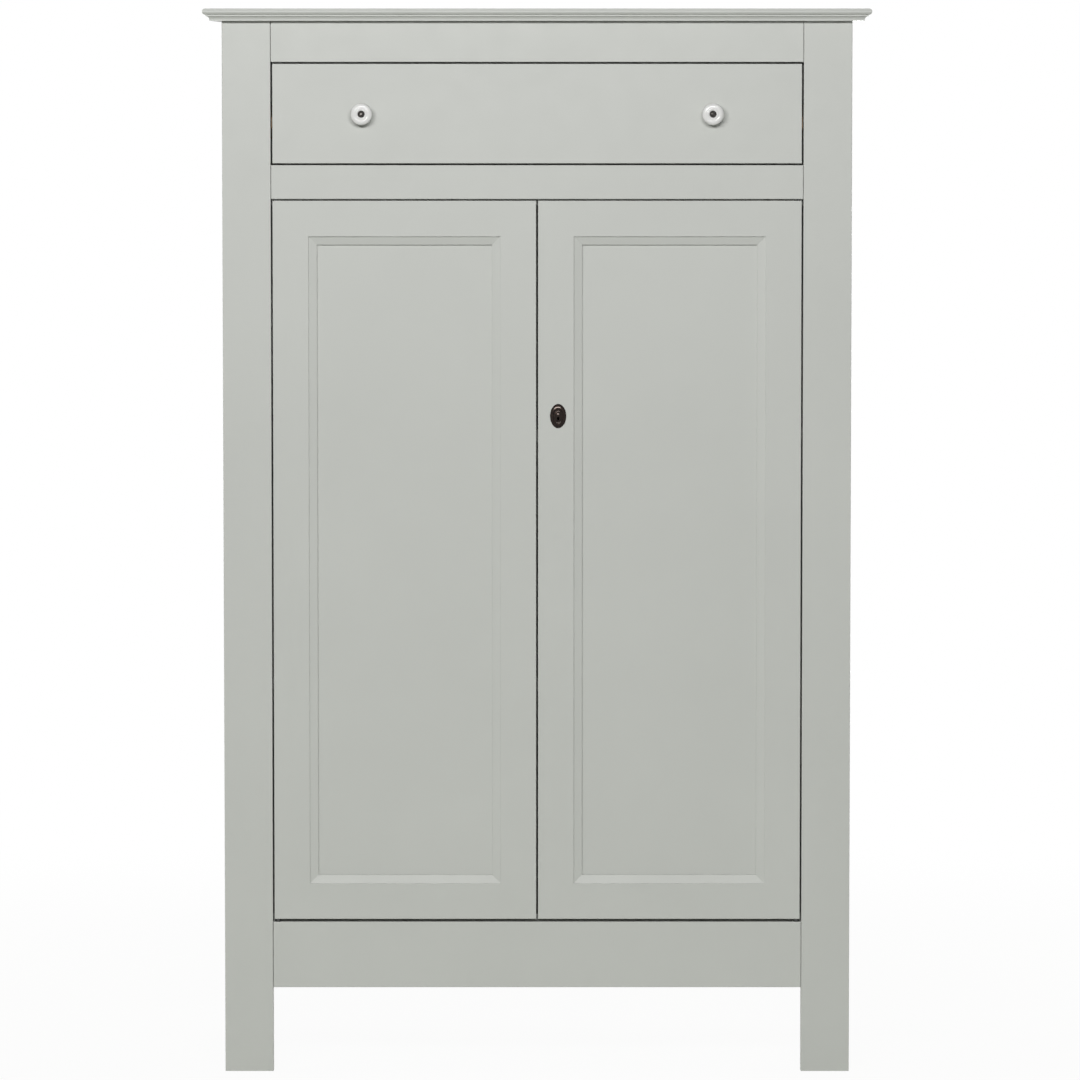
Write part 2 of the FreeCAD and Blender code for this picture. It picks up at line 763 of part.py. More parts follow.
def build_knobs():
    """Turned knobs, each held by a domed bolt from the front with a washer and nut inside."""
    base = size.knob_base_diameter / 2
    neck = size.knob_neck_diameter / 2
    head = size.knob_diameter / 2
    seat = size.knob_seat_diameter / 2
    bore = size.knob_bolt_diameter / 2 + size.fit_clearance
    rim = size.knob_rim_radius
    length = size.knob_length
    back_of_head = length - size.knob_head_length
    seat_level = length - size.knob_bolt_head_height / 2
    flare = head - neck - rim / 2
    centre = (-knob_x, front, knob_level())

    knob = new_body("knob")
    outline = [
        (bore, 0),
        (base, 0),
        (base, -rim / 2),
        (neck, -rim / 2 - (base - neck)),
        (neck, -back_of_head + flare),
        (head - rim / 2, -back_of_head),
        (head, -back_of_head - rim / 2),
        (head, -length + rim * 1.2),
        (head - rim, -length + rim * 0.2),
        (seat + rim / 2, -length),
        (seat, -seat_level),
        (bore, -seat_level),
    ]
    arcs = {
        4: ((head - rim / 2, -back_of_head + flare), flare),
        7: ((head - rim, -length + rim * 1.2), rim),
    }
    turned(knob, outline, arcs)
    place(knob, *centre)
    keep_node("knob_left", knob)
    keep_node("knob_right", mirrored(knob, "knob_right"))

    through = size.drawer_front_thickness + size.knob_washer_thickness
    shank_end = through + size.knob_nut_height * 1.5
    head_radius = size.knob_bolt_head_diameter / 2
    dome = size.knob_bolt_head_height
    dome_radius = (head_radius * head_radius + dome * dome) / (2 * dome)
    crown = -seat_level - dome
    shank = size.knob_bolt_diameter / 2
    bolt = new_body("knob_bolt")
    bolt_outline = [
        (0, shank_end),
        (shank, shank_end),
        (shank, -seat_level),
        (head_radius, -seat_level),
        (0, crown),
    ]
    turned(bolt, bolt_outline, {3: ((0, crown + dome_radius), dome_radius)})
    place(bolt, *centre)
    group("knob_bolts", bolt, mirrored(bolt, "knob_bolt_right"))

    inside_front = drawer_inside_front()
    hole = size.knob_bolt_diameter + 2 * size.fit_clearance
    washer = new_body("knob_washer")
    washer_at = (centre[0], inside_front, centre[2])
    add_round(washer, "y", washer_at, size.knob_washer_thickness, size.knob_washer_diameter)
    cut_round(washer, "y", washer_at, size.knob_washer_thickness, hole)
    group("knob_washers", washer, mirrored(washer, "knob_washer_right"))

    nut = new_body("knob_nut")
    nut_at = (centre[0], inside_front + size.knob_washer_thickness, centre[2])
    hexagon = nut.newObject("PartDesign::AdditivePrism", "hexagon")
    hexagon.Polygon = 6
    hexagon.Placement = FreeCAD.Placement(FreeCAD.Vector(), TURNS["y"])
    bind(hexagon, Circumradius=size.knob_nut_width / math.sqrt(3), Height=size.knob_nut_height)
    place(hexagon, *nut_at)
    thread = size.knob_bolt_diameter + 2 * size.pivot_clearance
    cut_round(nut, "y", nut_at, size.knob_nut_height, thread)
    group("knob_nuts", nut, mirrored(nut, "knob_nut_right"))


def section(edge, inward, flat):
    """Section of a door member: eased face, quirk, bevel, step, panel groove and square back."""
    foot = flat + size.bevel_width
    face_step = front + size.bevel_quirk
    bevel_low = front + size.bevel_drop
    groove_front = bevel_low + size.panel_step
    groove_back = groove_front + size.panel_thickness + size.fit_clearance
    groove_floor = foot - size.panel_groove_depth
    across_and_depth = [
        (0, front),
        (flat, front),
        (flat, face_step),
        (foot, bevel_low),
        (foot, groove_front),
        (groove_floor, groove_front),
        (groove_floor, groove_back),
        (foot, groove_back),
        (foot, door_back),
        (0, door_back),
    ]
    return [(edge + inward * across, depth) for across, depth in across_and_depth]


def build_stile(label, edge, inward):
    """Upright member of the left door; inward is the direction from its edge to the panel."""
    stile = new_body(label)
    prism(stile, "XY_Plane", (door_low, door_high), section(edge, inward, size.stile_flat))
    arris = edge + inward * size.stile_flat

    def outer_edge(box):
        return on_front(box) and not (near(box.XMin, arris) and near(box.XMax, arris))

    ease(stile, size.edge_radius, outer_edge)
    return stile


def build_door():
    """The left door's frame and panel, before anything is let into them."""
    hinge_edge = -(opening - size.door_side_gap)
    meeting_edge = -size.door_centre_gap / 2
    hinge_stile = build_stile("hinge_stile", hinge_edge, 1)
    meeting_stile = build_stile("meeting_stile", meeting_edge, -1)

    # a rounder arris at the back lets the door swing clear of the boards that stop it
    def rear_arris(box):
        return near(box.YMin, door_back) and near(box.XMax, hinge_edge)

    ease(hinge_stile, size.hinge_arris_radius, rear_arris)

    # the rails are coped over the bevels of the stiles and end in stub tenons in their grooves
    rails = []
    span = (hinge_edge + size.stile_flat, meeting_edge - size.stile_flat)
    for label, edge, inward in (("top_rail", door_high, -1), ("bottom_rail", door_low, 1)):
        rail = new_body(f"door_{label}")
        outline = [(depth, z) for z, depth in section(edge, inward, size.rail_flat)]
        prism(rail, "YZ_Plane", span, outline)

        def outer_edge(box):
            return on_front(box) and near(box.ZMin, edge) and near(box.ZMax, edge)

        ease(rail, size.edge_radius, outer_edge)
        rails.append(cut_away(f"door_{label}", rail, hinge_stile, meeting_stile))

    bite = size.bevel_width - size.panel_groove_depth + 5 * size.fit_clearance
    panel_front = front + size.bevel_drop + size.panel_step
    panel_x = (hinge_edge + size.stile_flat + bite, meeting_edge - size.stile_flat - bite)
    panel_z = (door_low + size.rail_flat + bite, door_high - size.rail_flat - bite)
    panel = plain_block("door_panel", panel_x, (panel_front, panel_front + size.panel_thickness), panel_z)

    for end in (door_low, door_high - size.pivot_bush_length):
        bore = size.pivot_bush_diameter + 2 * size.pivot_clearance
        cut_round(hinge_stile, "z", (pivot_x, pivot_y, end), size.pivot_bush_length, bore)
    return hinge_stile, meeting_stile, rails[0], rails[1], panel


def build_doors():
    """Two doors that mirror each other, with the keyhole through the right meeting stile."""
    labels = ("hinge_stile", "meeting_stile", "top_rail", "bottom_rail", "panel")
    passage = new_body("key_passage")
    keyhole(passage, add_round, add_box, (front, door_back), 4 * size.fit_clearance)
    for label, piece in zip(labels, build_door()):
        keep_node(f"left_door_{label}", piece)
        other = mirrored(piece, f"right_door_{label}")
        if label == "meeting_stile":
            other = cut_away("right_meeting_stile", other, passage)
        keep_node(f"right_door_{label}", other)


def keyhole(body, round_call, box_call, depth, allowance):
    """Round hole with a slot below it, a little under the lock's middle, over a range of depth."""
    x = size.door_centre_gap / 2 + size.lock_backset
    level = size.lock_level - size.keyhole_drop
    width = size.keyhole_slot_width + 2 * allowance
    slot = (level - size.keyhole_slot_length - allowance, level)
    diameter = size.keyhole_diameter + 2 * allowance
    round_call(body, "y", (x, depth[0], level), depth[1] - depth[0], diameter)
    box_call(body, about(x, width), depth, slot)


def build_pivots():
    """Pins in the rails, bushes in the hinge stiles, and washers that carry the doors."""
    pins = []
    bushes = []
    low_start = (pivot_x, pivot_y, door_sill - size.pivot_pin_depth)
    bush = size.pivot_bush_length
    low_length = size.pivot_pin_depth + size.door_bottom_gap + bush
    high_start = (pivot_x, pivot_y, door_high - bush)
    high_length = size.pivot_pin_depth + size.door_top_gap + bush
    for start, length in ((low_start, low_length), (high_start, high_length)):
        pins.append(plain_round("pivot_pin", "z", start, length, size.pivot_pin_diameter))
    for level in (door_low, door_high - bush):
        sleeve = new_body("pivot_bush")
        add_round(sleeve, "z", (pivot_x, pivot_y, level), bush, size.pivot_bush_diameter)
        cut_round(sleeve, "z", (pivot_x, pivot_y, level), bush, pin_hole)
        bushes.append(sleeve)
    group("pivot_pins", *pins, *[mirrored(pin, "pivot_pin") for pin in pins])
    group("left_door_bushes", *bushes)
    group("right_door_bushes", *[mirrored(sleeve, "pivot_bush") for sleeve in bushes])

    washer = new_body("pivot_washer")
    washer_at = (pivot_x, pivot_y, door_sill)
    add_round(washer, "z", washer_at, size.door_bottom_gap, size.pivot_washer_diameter)
    cut_round(washer, "z", washer_at, size.door_bottom_gap, pin_hole)
    group("pivot_washers", washer, mirrored(washer, "pivot_washer"))


def build_lock():
    """Rim lock on the back of the right door, its keep on the left door, and the escutcheon."""
    level = size.lock_level
    wall = size.lock_case_wall
    case_x = size.door_centre_gap / 2 + size.lock_setback
    case_back = door_back + size.lock_case_depth
    bolt_front = door_back + size.lock_bolt_lift
    bolt_back = bolt_front + size.lock_bolt_thickness

    case = new_body("lock_case")
    outside = (case_x, case_x + size.lock_case_width)
    add_box(case, outside, (door_back, case_back), about(level, size.lock_case_height))
    cavity = (outside[0] + wall, outside[1] - wall)
    cut_box(case, cavity, (door_back, case_back - wall), about(level, size.lock_case_height - 2 * wall))
    gap = size.fit_clearance
    slot = about(level, size.lock_bolt_height + 2 * gap)
    cut_box(case, (outside[0], cavity[0]), (bolt_front - gap, bolt_back + gap), slot)

    def outer_edge(box):
        return near(box.YMin, case_back) and near(box.YMax, case_back)

    ease(case, wall * 0.8, outer_edge)
    keep_node("lock_case", case)

    bolt = new_body("lock_bolt")
    bolt_x = (case_x, case_x + size.lock_bolt_length)
    add_box(bolt, bolt_x, (bolt_front, bolt_back), about(level, size.lock_bolt_height))
    notch_middle = size.door_centre_gap / 2 + size.lock_backset
    notch = (level - size.lock_bolt_height / 2, level - size.lock_bolt_height / 6)
    cut_box(bolt, about(notch_middle, size.lock_bolt_height * 0.6), (bolt_front, bolt_back), notch)

    def tip_edge(box):
        return near(box.XMax, case_x)

    ease(bolt, size.edge_radius, tip_edge)
    keep_node("lock_bolt", bolt)

    thick = size.keep_thickness
    room = size.lock_bolt_height / 2 + size.keep_clearance
    depth = size.lock_bolt_lift + size.lock_bolt_thickness + size.keep_clearance
    half_outline = [
        (door_back, room),
        (door_back, room + size.keep_foot),
        (door_back + thick, room + size.keep_foot),
        (door_back + thick, room + thick),
        (door_back + depth + thick, room + thick),
    ]
    inside_corner = (door_back + depth, room)
    upper = [(y, level + z) for y, z in [inside_corner] + half_outline]
    lower = [(y, level - z) for y, z in [inside_corner] + half_outline]
    keep = new_body("keep")
    near_edge = -size.door_centre_gap / 2 - size.lock_setback
    prism(keep, "YZ_Plane", (near_edge - size.keep_width, near_edge), upper + lower[::-1])
    keep_node("lock_keep", keep)

    build_escutcheon(level)


def oval_block(label, middle, oval_low, y_low, oval_high, y_high):
    """A block with sloping sides between two upright ovals, each given by half its width and height."""
    sections = []
    for (half_across, half_up), y in ((oval_low, y_low), (oval_high, y_high)):
        oval = document.addObject("Part::Ellipse", f"{label}_outline")
        oval.Placement = FreeCAD.Placement(FreeCAD.Vector(), OVAL_TURN)
        bind(oval, MajorRadius=half_up, MinorRadius=half_across)
        place(oval, middle[0], y, middle[1])
        sections.append(oval)
    block = document.addObject("Part::Loft", label)
    block.Sections = sections
    block.Solid = True
    block.Ruled = True
    return block


def build_escutcheon(level):
    """Oval plate with a raised rim, a dished ring and a boss round the keyhole."""
    x = size.door_centre_gap / 2 + size.lock_backset
    middle = (x, level)
    slope = size.escutcheon_slope
    dish_level = front - size.escutcheon_thickness + size.escutcheon_dish
    crest = front - size.escutcheon_thickness

    def oval(inset):
        return (size.escutcheon_width / 2 - inset, size.escutcheon_height / 2 - inset)

    def small_oval(inset):
        return (size.escutcheon_width / 4 - inset, size.escutcheon_height / 4 - inset)

    brim = slope + size.escutcheon_rim
    plate = oval_block("escutcheon_plate", middle, oval(0), front, oval(slope), crest)
    dish = oval_block("escutcheon_dish", middle, oval(brim + slope), dish_level, oval(brim), crest)
    boss = oval_block("escutcheon_boss", middle, small_oval(0), dish_level, small_oval(slope / 2), crest)
    raised = document.addObject("Part::Fuse", "escutcheon_raised")
    raised.Base = cut_away("escutcheon_dished", plate, dish)
    raised.Tool = boss
    key_way = new_body("escutcheon_key_way")
    keyhole(key_way, add_round, add_box, (crest, front), 0)
    keep_node("escutcheon", cut_away("escutcheon", raised, key_way))


def build_slide_bolt():
    """Slide bolt that holds the left door: a plate with two straps and a flat bar."""
    high = divider_low - size.slide_plate_drop
    low = high - size.slide_plate_height
    strap = size.slide_strap_height
    play = size.fit_clearance
    strap_back = bar_back + play + size.slide_strap_thickness

    plate = new_body("slide_bolt_case")
    plate_back = door_back + size.slide_plate_thickness
    add_box(plate, about(bolt_x, size.slide_plate_width), (door_back, plate_back), (low, high))
    for strap_low in (low + strap / 4, high - strap * 5 / 4):
        reach = (door_back, strap_back)
        add_box(plate, about(bolt_x, size.slide_strap_width), reach, (strap_low, strap_low + strap))
    channel = about(bolt_x, size.slide_bar_width + 2 * play)
    cut_box(plate, channel, (plate_back, bar_back + play), (low, high))
    keep_node("slide_bolt_case", plate)

    bar = new_body("slide_bolt")
    bar_high = divider_low - size.slide_bar_drop
    bar_low = low - size.slide_bar_tail
    add_box(bar, about(bolt_x, size.slide_bar_width), (bar_front, bar_back), (bar_low, bar_high))
    knob_z = (low + high) / 2 - size.slide_knob_drop
    add_round(bar, "y", (bolt_x, bar_back, knob_z), size.slide_knob_length, size.slide_knob_diameter)
    knob_end = bar_back + size.slide_knob_length
    ease(bar, size.edge_radius, lambda box: near(box.YMin, knob_end))
    keep_node("slide_bolt", bar)


def check_and_write():
    """Stop on any broken object, then write one file for each piece."""
    document.recompute()
    for thing in document.Objects:
        if "Invalid" in thing.State or "Error" in thing.State:
            raise RuntimeError(f"{thing.Label} did not build: {thing.State}")
    os.makedirs("parts", exist_ok=True)
    for label, thing in nodes.items():
        shape = thing.Shape
        if shape.isNull() or not shape.isValid() or not shape.Solids:
            raise RuntimeError(f"{label} has no valid solid")
        shape.exportStep(f"parts/{label}.step")
    print(f"{len(nodes)} pieces written")


build_carcass()
build_drawer()
build_knobs()
build_doors()
build_pivots()
build_lock()
build_slide_bolt()
check_and_write()
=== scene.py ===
"""Looks of a painted highboard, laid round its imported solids.

Lengths are in metres unless a name ends in mm. +Z is up and the front faces -Y.
"""

import json
import logging
import math
from abc import ABC, abstractmethod
from contextlib import contextmanager
from dataclasses import dataclass
from enum import Enum
from itertools import product
from typing import Any, Iterator, Sequence

import bpy
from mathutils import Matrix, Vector

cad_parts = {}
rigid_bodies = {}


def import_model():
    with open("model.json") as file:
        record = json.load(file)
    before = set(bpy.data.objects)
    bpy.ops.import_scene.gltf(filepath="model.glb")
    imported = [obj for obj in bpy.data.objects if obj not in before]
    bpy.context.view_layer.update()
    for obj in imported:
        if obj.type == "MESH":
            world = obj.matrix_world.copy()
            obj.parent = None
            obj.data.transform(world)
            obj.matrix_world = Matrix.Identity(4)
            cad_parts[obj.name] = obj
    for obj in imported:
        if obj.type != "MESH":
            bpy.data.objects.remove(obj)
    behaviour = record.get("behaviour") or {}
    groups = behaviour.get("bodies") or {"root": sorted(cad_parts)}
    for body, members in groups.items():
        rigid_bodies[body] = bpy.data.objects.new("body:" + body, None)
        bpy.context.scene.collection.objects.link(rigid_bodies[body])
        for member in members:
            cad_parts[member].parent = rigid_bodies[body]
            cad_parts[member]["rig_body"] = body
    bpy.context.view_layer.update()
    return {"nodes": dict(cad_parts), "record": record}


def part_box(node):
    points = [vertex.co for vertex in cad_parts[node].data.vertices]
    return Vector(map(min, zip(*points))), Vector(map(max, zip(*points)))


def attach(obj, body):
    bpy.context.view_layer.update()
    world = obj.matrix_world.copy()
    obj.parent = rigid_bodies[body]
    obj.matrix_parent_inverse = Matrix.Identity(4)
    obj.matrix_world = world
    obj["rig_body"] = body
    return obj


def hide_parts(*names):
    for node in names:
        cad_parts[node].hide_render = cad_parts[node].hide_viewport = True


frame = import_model()

log = logging.getLogger("highboard")

Colour = tuple[float, float, float, float]
Triple = tuple[float, float, float]
Stops = Sequence[tuple[float, Colour]]
Outline = Sequence[tuple[float, float]]
Inputs = dict[Any, Any]
Piece = bpy.types.Object
Socket = bpy.types.NodeSocket

MM = 0.001
NOISE_LOW, NOISE_HIGH = 0.3, 0.7  # where most of a noise's values lie
WAVE_PERIOD = math.tau / 20.0  # of a wave pattern at a scale of 1
SHARP_ANGLE = math.radians(38.0)
WELD_GAP = 1e-6


class Facing(Enum):
    """The direction that a fitting's face looks in."""

    FRONT = (0.0, -1.0, 0.0)
    REAR = (0.0, 1.0, 0.0)
    LEFT = (-1.0, 0.0, 0.0)
    RIGHT = (1.0, 0.0, 0.0)
    DOWN = (0.0, 0.0, -1.0)

    @property
    def vector(self) -> Vector:
        """The direction as a vector."""
        return Vector(self.value)

    @property
    def axis_letter(self) -> str:
        """The letter of the axis that the direction lies along."""
        return "XYZ"[[abs(part) for part in self.value].index(1.0)]


class Grain(Enum):
    """The direction that a board's grain runs in, as a stretch of the pattern along each axis."""

    ACROSS = (0.05, 1.0, 1.0)
    FRONT_TO_REAR = (1.0, 0.05, 1.0)


def linear(code: str, share: float = 1.0) -> Colour:
    """Turn an sRGB hex colour into linear light.

    Args:
        code: colour such as "#c0c2bc".
        share: how much of that light to keep.

    Returns:
        Red, green, blue and full alpha.
    """
    channels = [int(code[i:i + 2], 16) / 255 for i in (1, 3, 5)]
    light = [c / 12.92 if c <= 0.04045 else ((c + 0.055) / 1.055) ** 2.4 for c in channels]
    return (light[0] * share, light[1] * share, light[2] * share, 1.0)


def shades(code: str, *tones: tuple[float, float]) -> Stops:
    """Shades of one colour for a ramp, from each one's place there and the share of light that it keeps."""
    return [(place, linear(code, share)) for place, share in tones]


def per_metre(size_mm: float) -> float:
    """Texture scale whose features are about as large as a size in millimetres."""
    return 1.0 / (size_mm * MM)


@dataclass(frozen=True)
class Nodes:
    """A node tree, with the steps that patterns are drawn in."""

    tree: bpy.types.NodeTree

    def wire(self, node: bpy.types.Node, inputs: Inputs) -> None:
        """Set or link a node's inputs.

        Args:
            node: the node whose inputs are set.
            inputs: for each socket's name or index, a value or another node's output.
        """
        for socket, value in inputs.items():
            if isinstance(value, Socket):
                self.tree.links.new(value, node.inputs[socket])
            else:
                node.inputs[socket].default_value = value

    def add(self, kind: str, inputs: Inputs, **settings: Any) -> bpy.types.Node:
        """Add a node with its settings and links.

        Args:
            kind: the node's type.
            inputs: values or links for its sockets.
            settings: the node's own properties.

        Returns:
            The new node.
        """
        node = self.tree.nodes.new(kind)
        for name, value in settings.items():
            setattr(node, name, value)
        self.wire(node, inputs)
        return node

    def place(self) -> Socket:
        """The place on the piece, in metres."""
        return self.add("ShaderNodeTexCoord", {}).outputs["Object"]

    def noise(self, place: Socket, size_mm: float, detail: float, rough: float = 0.5,
              twist: float = 0.0, output: str = "Fac") -> Socket:
        """Draw a cloudy noise.

        Args:
            place: where it is drawn.
            size_mm: how large its clouds are.
            detail: how many finer layers it has.
            rough: how strong the finer layers are.
            twist: how much it is distorted.
            output: "Fac" for a number or "Color" for three.

        Returns:
            The noise.
        """
        inputs = {"Vector": place, "Scale": per_metre(size_mm), "Detail": detail,
                  "Roughness": rough, "Distortion": twist}
        return self.add("ShaderNodeTexNoise", inputs).outputs[output]

    def ramp(self, value: Socket, stops: Stops) -> Socket:
        """Turn a number into a colour.

        Args:
            value: the number, from 0 to 1.
            stops: the colours and their places on the ramp, in order.

        Returns:
            The colour.
        """
        node = self.add("ShaderNodeValToRGB", {"Fac": value})
        marks = node.color_ramp.elements
        for i, (place, colour) in enumerate(stops):
            mark = marks[i] if i < len(marks) else marks.new(place)
            mark.position = place
            mark.color = colour
        return node.outputs["Color"]

    def between(self, value: Socket, low: float, high: float, start: float = NOISE_LOW,
                end: float = NOISE_HIGH, **settings: Any) -> Socket:
        """Bring a number from the range of start to end into the range of low to high."""
        inputs = {"Value": value, "From Min": start, "From Max": end, "To Min": low, "To Max": high}
        return self.add("ShaderNodeMapRange", inputs, **settings).outputs["Result"]

    def vector(self, operation: str, *terms: Any) -> Socket:
        """Work out a vector, or the length of one, from up to three terms."""
        node = self.add("ShaderNodeVectorMath", dict(enumerate(terms)), operation=operation)
        return node.outputs["Value" if operation == "LENGTH" else "Vector"]

    def number(self, operation: str, *terms: Any) -> Socket:
        """Work out a number from two terms."""
        return self.add("ShaderNodeMath", dict(enumerate(terms)), operation=operation).outputs[0]

    def largest(self, first: Socket, *others: Socket) -> Socket:
        """Find the largest of some numbers.

        Args:
            first: one number.
            others: the other numbers.

        Returns:
            The largest.
        """
        for other in others:
            first = self.number("MAXIMUM", first, other)
        return first

    def mix(self, share: Socket, first: Any, second: Any) -> Socket:
        """Mix two colours: the first at a share of 0, the second at 1."""
        return self.add("ShaderNodeMix", {0: share, 6: first, 7: second}, data_type="RGBA").outputs[2]

    def bump(self, height: Socket, strength: float, depth_mm: float) -> Socket:
        """Tilt the surface's normals as a shallow relief does."""
        inputs = {"Height": height, "Strength": strength, "Distance": depth_mm * MM}
        return self.add("ShaderNodeBump", inputs).outputs["Normal"]


PAINT = "#bdbfba"
RAW_HARDBOARD = "#8a6a48"
WHITE = linear("#ffffff")


@dataclass(frozen=True)
class Finish(ABC):
    """What a surface is made of, and how it was made."""

    name: str
    colour: str
    roughness: float
    metallic: float = 0.0
    ior: float = 1.5

    def material(self) -> bpy.types.Material:
        """Make the material at its first use.

        Returns:
            The material with this finish's name.
        """
        made = bpy.data.materials.get(self.name)
        if made:
            return made
        material = bpy.data.materials.new(self.name)
        material.use_nodes = True
        nodes = Nodes(material.node_tree)
        plain = {"Base Color": linear(self.colour), "Roughness": self.roughness,
                 "Metallic": self.metallic, "IOR": self.ior}
        nodes.wire(nodes.tree.nodes["Principled BSDF"], plain | self.pattern(nodes))
        return material

    @abstractmethod
    def pattern(self, nodes: Nodes) -> Inputs:
        """Draw the detail that the eye sees on this surface.

        Args:
            nodes: the material's nodes.

        Returns:
            The shader's inputs that the detail sets.
        """


@dataclass(frozen=True)
class SprayedPaint(Finish):
    """Sprayed water-based paint: even, with a faint orange peel and a slow drift of tone."""

    drift_mm: float = 180.0
    darkest: float = 0.982
    lightest: float = 1.012
    cloud_mm: float = 30.0
    glossier: float = 0.03
    duller: float = 0.04
    peel_mm: float = 2.4
    peel_height_mm: float = 0.02
    peel_strength: float = 0.35

    def pattern(self, nodes: Nodes) -> Inputs:
        """Drift of tone, clouds of gloss and orange peel, drawn coarser than the real one.

        Args:
            nodes: the material's nodes.

        Returns:
            The shader's inputs that the detail sets.
        """
        place = nodes.place()
        drift = nodes.noise(place, self.drift_mm, detail=3.0)
        tones = shades(self.colour, (NOISE_LOW, self.darkest), (NOISE_HIGH, self.lightest))
        cloud = nodes.noise(place, self.cloud_mm, detail=4.0)
        gloss = nodes.between(cloud, self.roughness - self.glossier, self.roughness + self.duller)
        peel = nodes.noise(place, self.peel_mm, detail=1.5)
        return {"Base Color": nodes.ramp(drift, tones), "Roughness": gloss,
                "Normal": nodes.bump(peel, self.peel_strength, self.peel_height_mm)}


@dataclass(frozen=True)
class Hardboard(Finish):
    """Pressed fibre board, painted on one face and raw on the other."""

    paint: str = PAINT
    axis: str = "Y"
    raw_from: float = 0.0
    raw_to: float = 1.0
    fibre_mm: float = 1.6
    fibre_height_mm: float = 0.08
    fibre_strength: float = 0.4
    cloud_mm: float = 260.0
    stain: tuple[float, float] = (0.78, 1.1)

    def pattern(self, nodes: Nodes) -> Inputs:
        """Matted fibres and clouds of tone on the raw face, and paint on the face that shows inside.

        Args:
            nodes: the material's nodes.

        Returns:
            The shader's inputs that the detail sets.
        """
        place = nodes.place()
        fibre = nodes.noise(place, self.fibre_mm, detail=6.0, rough=0.7, twist=1.6)
        raw = nodes.ramp(fibre, shades(self.colour, (0.25, 0.62), (0.55, 1.0), (0.8, 1.35)))
        cloud = nodes.noise(place, self.cloud_mm, detail=6.0, rough=0.6)
        stained = nodes.vector("MULTIPLY", raw, nodes.between(cloud, *self.stain))
        depth = nodes.add("ShaderNodeSeparateXYZ", {"Vector": place}).outputs[self.axis]
        side = nodes.between(depth, 0.0, 1.0, self.raw_from, self.raw_to)
        return {"Base Color": nodes.mix(side, linear(self.paint), stained),
                "Normal": nodes.bump(fibre, self.fibre_strength, self.fibre_height_mm)}


@dataclass(frozen=True)
class PlanedPine(Finish):
    """Bare planed pine: pale early wood with darker, harder year rings."""

    late_wood: str = "#c48f57"
    grain: Grain = Grain.FRONT_TO_REAR
    heart_tilt: Triple = (0.35, 0.2, 0.03)
    ring_mm: float = 7.0
    wander_mm: float = 60.0
    wander: Triple = (0.02, 0.02, 0.02)
    fibre_mm: float = 0.9
    fibre_tones: tuple[float, float] = (0.9, 1.06)
    fibre_height_mm: float = 0.06
    fibre_strength: float = 0.3

    def pattern(self, nodes: Nodes) -> Inputs:
        """Year rings drawn out along the board, and fine fibres between them.

        Args:
            nodes: the material's nodes.

        Returns:
            The shader's inputs that the detail sets.
        """
        stretch = {"Vector": nodes.place(), "Scale": self.grain.value, "Rotation": self.heart_tilt}
        along = nodes.add("ShaderNodeMapping", stretch).outputs["Vector"]
        drift = nodes.noise(along, self.wander_mm, detail=2.0, output="Color")
        bands = {"Vector": nodes.vector("MULTIPLY_ADD", drift, self.wander, along),
                 "Scale": WAVE_PERIOD * per_metre(self.ring_mm),
                 "Distortion": 1.2, "Detail": 2.0, "Detail Scale": 0.6}
        rings = nodes.add("ShaderNodeTexWave", bands, wave_type="BANDS", bands_direction="DIAGONAL",
                          wave_profile="SAW").outputs["Fac"]
        early = shades(self.colour, (0.0, 1.0), (0.6, 0.93), (1.0, 0.98))
        wood = nodes.ramp(rings, [*early[:2], (0.93, linear(self.late_wood)), early[2]])
        fibre = nodes.noise(along, self.fibre_mm, detail=3.0, rough=0.6)
        return {"Base Color": nodes.vector("MULTIPLY", wood, nodes.between(fibre, *self.fibre_tones)),
                "Normal": nodes.bump(fibre, self.fibre_strength, self.fibre_height_mm)}


@dataclass(frozen=True)
class PlanedBeech(Finish):
    """Bare beech: even pinkish brown with short dark ray flecks."""

    grain: Grain = Grain.FRONT_TO_REAR
    tone_mm: float = 25.0
    fleck_mm: float = 0.7
    fleck_edge: tuple[float, float] = (0.6, 0.72)
    fleck_tone: float = 0.66

    def pattern(self, nodes: Nodes) -> Inputs:
        """Flecks a few millimetres long over a slow change of tone.

        Args:
            nodes: the material's nodes.

        Returns:
            The shader's inputs that the detail sets.
        """
        stretch = {"Vector": nodes.place(), "Scale": self.grain.value}
        along = nodes.add("ShaderNodeMapping", stretch).outputs["Vector"]
        fleck = nodes.noise(along, self.fleck_mm, detail=1.0)
        tone = nodes.noise(along, self.tone_mm, detail=2.0)
        wood = nodes.ramp(tone, shades(self.colour, (NOISE_LOW, 0.9), (NOISE_HIGH, 1.08)))
        dark = nodes.between(fleck, 1.0, self.fleck_tone, *self.fleck_edge)
        return {"Base Color": nodes.vector("MULTIPLY", wood, dark)}


@dataclass(frozen=True)
class WorkedMetal(Finish):
    """Plated, turned or cast metal with a slight mottle and fine marks from handling."""

    worn: str = "#c9ccd0"
    mottle_mm: float = 3.0
    mark_mm: float = 0.6
    mark_depth_mm: float = 0.02
    mark_strength: float = 0.12
    spread: float = 0.08
    lacquer: float = 0.0
    film: float = 0.1

    def pattern(self, nodes: Nodes) -> Inputs:
        """Mottled tone, a changing gloss, shallow marks and a film of lacquer on some.

        Args:
            nodes: the material's nodes.

        Returns:
            The shader's inputs that the detail sets.
        """
        place = nodes.place()
        mottle = nodes.noise(place, self.mottle_mm, detail=4.0, rough=0.6)
        tone = nodes.ramp(mottle, ((0.35, linear(self.colour)), (0.75, linear(self.worn))))
        gloss = nodes.between(mottle, self.roughness - self.spread, self.roughness + self.spread)
        marks = nodes.noise(place, self.mark_mm, detail=2.0)
        return {"Base Color": tone, "Roughness": gloss,
                "Normal": nodes.bump(marks, self.mark_strength, self.mark_depth_mm),
                "Coat Weight": self.lacquer, "Coat Roughness": self.film}


